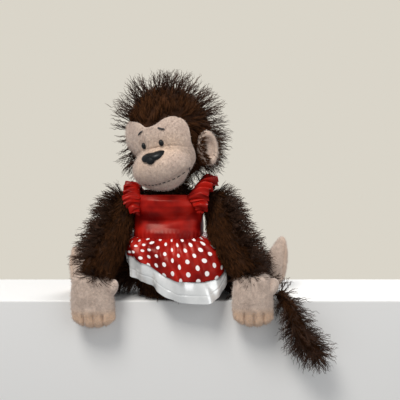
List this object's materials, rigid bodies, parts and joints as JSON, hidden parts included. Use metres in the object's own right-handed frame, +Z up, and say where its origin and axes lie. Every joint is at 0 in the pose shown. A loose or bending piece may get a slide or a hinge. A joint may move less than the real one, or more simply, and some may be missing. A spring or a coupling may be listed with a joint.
{
  "type": "stuffed monkey",
  "caption": "Sitting stuffed monkey with long shaggy fur, soft face, hands and feet, a long tail and a satin dress over a petticoat.",
  "frame": {"origin": "middle of the flat seat under the body, in the plane that the toy sits on", "axes": "+Z up, -Y the way the body faces, +X towards the toy's own left hand"},
  "size_m": [0.2648, 0.1063, 0.2651],
  "materials": {
    "fur": "long shaggy pile",
    "plush": "short pile",
    "filling": "fibre wadding",
    "pellets": "plastic pellets in a bag",
    "eye_bead": "polished",
    "nose_bead": "polished",
    "washer": "moulded",
    "black_thread": "embroidery thread",
    "tan_thread": "embroidery thread",
    "red_satin": "satin",
    "dotted_satin": "satin with white dots",
    "white_satin": "satin",
    "tape": "hook and loop tape",
    "seam_tape": "folded seam allowance"
  },
  "bodies": {
    "torso": {"torso_skin": "fur", "torso_filling": "filling", "pellet_bag": "pellets", "dress_bodice": "red_satin", "shoulder_strap_left": "red_satin", "shoulder_strap_right": "red_satin", "waist_band": "red_satin", "closure_tape": "tape", "skirt_back": "dotted_satin", "petticoat_back": "white_satin", "tail_base": "fur"},
    "neck": {"neck_gusset": "fur"},
    "head": {"head_skin": "fur", "head_filling": "filling", "face_mask": "plush", "muzzle": "plush", "chin": "plush", "eye_left": "eye_bead", "eye_right": "eye_bead", "eye_washer_left": "washer", "eye_washer_right": "washer", "nose": "nose_bead", "nose_washer": "washer", "mouth_stitches": "black_thread", "eyebrow_stitches": "black_thread"},
    "skirt": {"skirt_front": "dotted_satin", "petticoat_front": "white_satin"},
    "tail_middle": {"tail_middle": "fur"},
    "tail_end": {"tail_end": "fur"},
    "ear_left": {"ear_left": "plush", "ear_lining_left": "fur"},
    "shoulder_left": {"shoulder_seam_left": "seam_tape"},
    "arm_left": {"arm_skin_left": "fur", "arm_filling_left": "filling"},
    "hand_left": {"hand_skin_left": "plush", "hand_filling_left": "filling", "finger_stitches_left": "tan_thread"},
    "hip_left": {"hip_seam_left": "seam_tape"},
    "leg_left": {"leg_skin_left": "fur", "leg_filling_left": "filling"},
    "foot_left": {"foot_skin_left": "plush", "foot_filling_left": "filling"},
    "ear_right": {"ear_right": "plush", "ear_lining_right": "fur"},
    "shoulder_right": {"shoulder_seam_right": "seam_tape"},
    "arm_right": {"arm_skin_right": "fur", "arm_filling_right": "filling"},
    "hand_right": {"hand_skin_right": "plush", "hand_filling_right": "filling", "finger_stitches_right": "tan_thread"},
    "hip_right": {"hip_seam_right": "seam_tape"},
    "leg_right": {"leg_skin_right": "fur", "leg_filling_right": "filling"},
    "foot_right": {"foot_skin_right": "plush", "foot_filling_right": "filling"}
  },
  "joints": [
    {"name": "neck_turn", "type": "hinge", "parent": "torso", "child": "neck", "pos_m": [0.002, 0.002, 0.11], "axis": [0, 0, 1], "range_deg": [-20, 45]},
    {"name": "head_nod", "type": "hinge", "parent": "neck", "child": "head", "pos_m": [0.002, 0.002, 0.11], "axis": [1, 0, 0], "range_deg": [-20, 5]},
    {"name": "ear_fold_left", "type": "hinge", "parent": "head", "child": "ear_left", "pos_m": [0.04016, -0.02666, 0.14873], "axis": [-0.1504, 0.0868, 0.9848], "range_deg": [-20, 40]},
    {"name": "ear_fold_right", "type": "hinge", "parent": "head", "child": "ear_right", "pos_m": [-0.03295, 0.01555, 0.13384], "axis": [0.1504, -0.0868, -0.9848], "range_deg": [-20, 40]},
    {"name": "arm_swing_left", "type": "hinge", "parent": "torso", "child": "shoulder_left", "pos_m": [0.044, -0.002, 0.096], "axis": [-1, 0, 0], "range_deg": [0, 85]},
    {"name": "arm_spread_left", "type": "hinge", "parent": "shoulder_left", "child": "arm_left", "pos_m": [0.044, -0.002, 0.096], "axis": [0, -1, 0], "range_deg": [0, 5]},
    {"name": "wrist_bend_left", "type": "hinge", "parent": "arm_left", "child": "hand_left", "pos_m": [0.076, -0.046, 0.031], "axis": [-1, 0, 0], "range_deg": [-5, 40]},
    {"name": "leg_lift_left", "type": "hinge", "parent": "torso", "child": "hip_left", "pos_m": [0.035, 0, 0.032], "axis": [0, -1, 0], "range_deg": [0, 15]},
    {"name": "leg_turn_left", "type": "hinge", "parent": "hip_left", "child": "leg_left", "pos_m": [0.035, 0, 0.032], "axis": [0, 0, -1], "range_deg": [-15, 8]},
    {"name": "ankle_bend_left", "type": "hinge", "parent": "leg_left", "child": "foot_left", "pos_m": [0.097, 0.006, 0.027], "axis": [0, 1, 0], "range_deg": [0, 30]},
    {"name": "arm_swing_right", "type": "hinge", "parent": "torso", "child": "shoulder_right", "pos_m": [-0.044, -0.002, 0.096], "axis": [-1, 0, 0], "range_deg": [0, 85]},
    {"name": "arm_spread_right", "type": "hinge", "parent": "shoulder_right", "child": "arm_right", "pos_m": [-0.044, -0.002, 0.096], "axis": [0, 1, 0], "range_deg": [0, 80]},
    {"name": "wrist_bend_right", "type": "hinge", "parent": "arm_right", "child": "hand_right", "pos_m": [-0.068, -0.047, 0.03], "axis": [-1, 0, 0], "range_deg": [-5, 40]},
    {"name": "leg_lift_right", "type": "hinge", "parent": "torso", "child": "hip_right", "pos_m": [-0.035, 0, 0.032], "axis": [0, 1, 0], "range_deg": [-14, 15]},
    {"name": "leg_turn_right", "type": "hinge", "parent": "hip_right", "child": "leg_right", "pos_m": [-0.035, 0, 0.032], "axis": [0, 0, 1], "range_deg": [-15, 8]},
    {"name": "ankle_bend_right", "type": "hinge", "parent": "leg_right", "child": "foot_right", "pos_m": [-0.089, 0.005, 0.017], "axis": [0, -1, 0], "range_deg": [0, 30]},
    {"name": "tail_drop", "type": "hinge", "parent": "torso", "child": "tail_middle", "pos_m": [0.067, -0.02, 0.0085], "axis": [0, 1, 0], "range_deg": [0, 50]},
    {"name": "tail_bend", "type": "hinge", "parent": "tail_middle", "child": "tail_end", "pos_m": [0.106, -0.028, 0.0085], "axis": [-0.5, -0.866, 0], "range_deg": [-10, 60]},
    {"name": "skirt_lift", "type": "hinge", "parent": "torso", "child": "skirt", "pos_m": [0, -0.032, 0.06], "axis": [-1, 0, 0], "range_deg": [0, 14]}
  ]
}
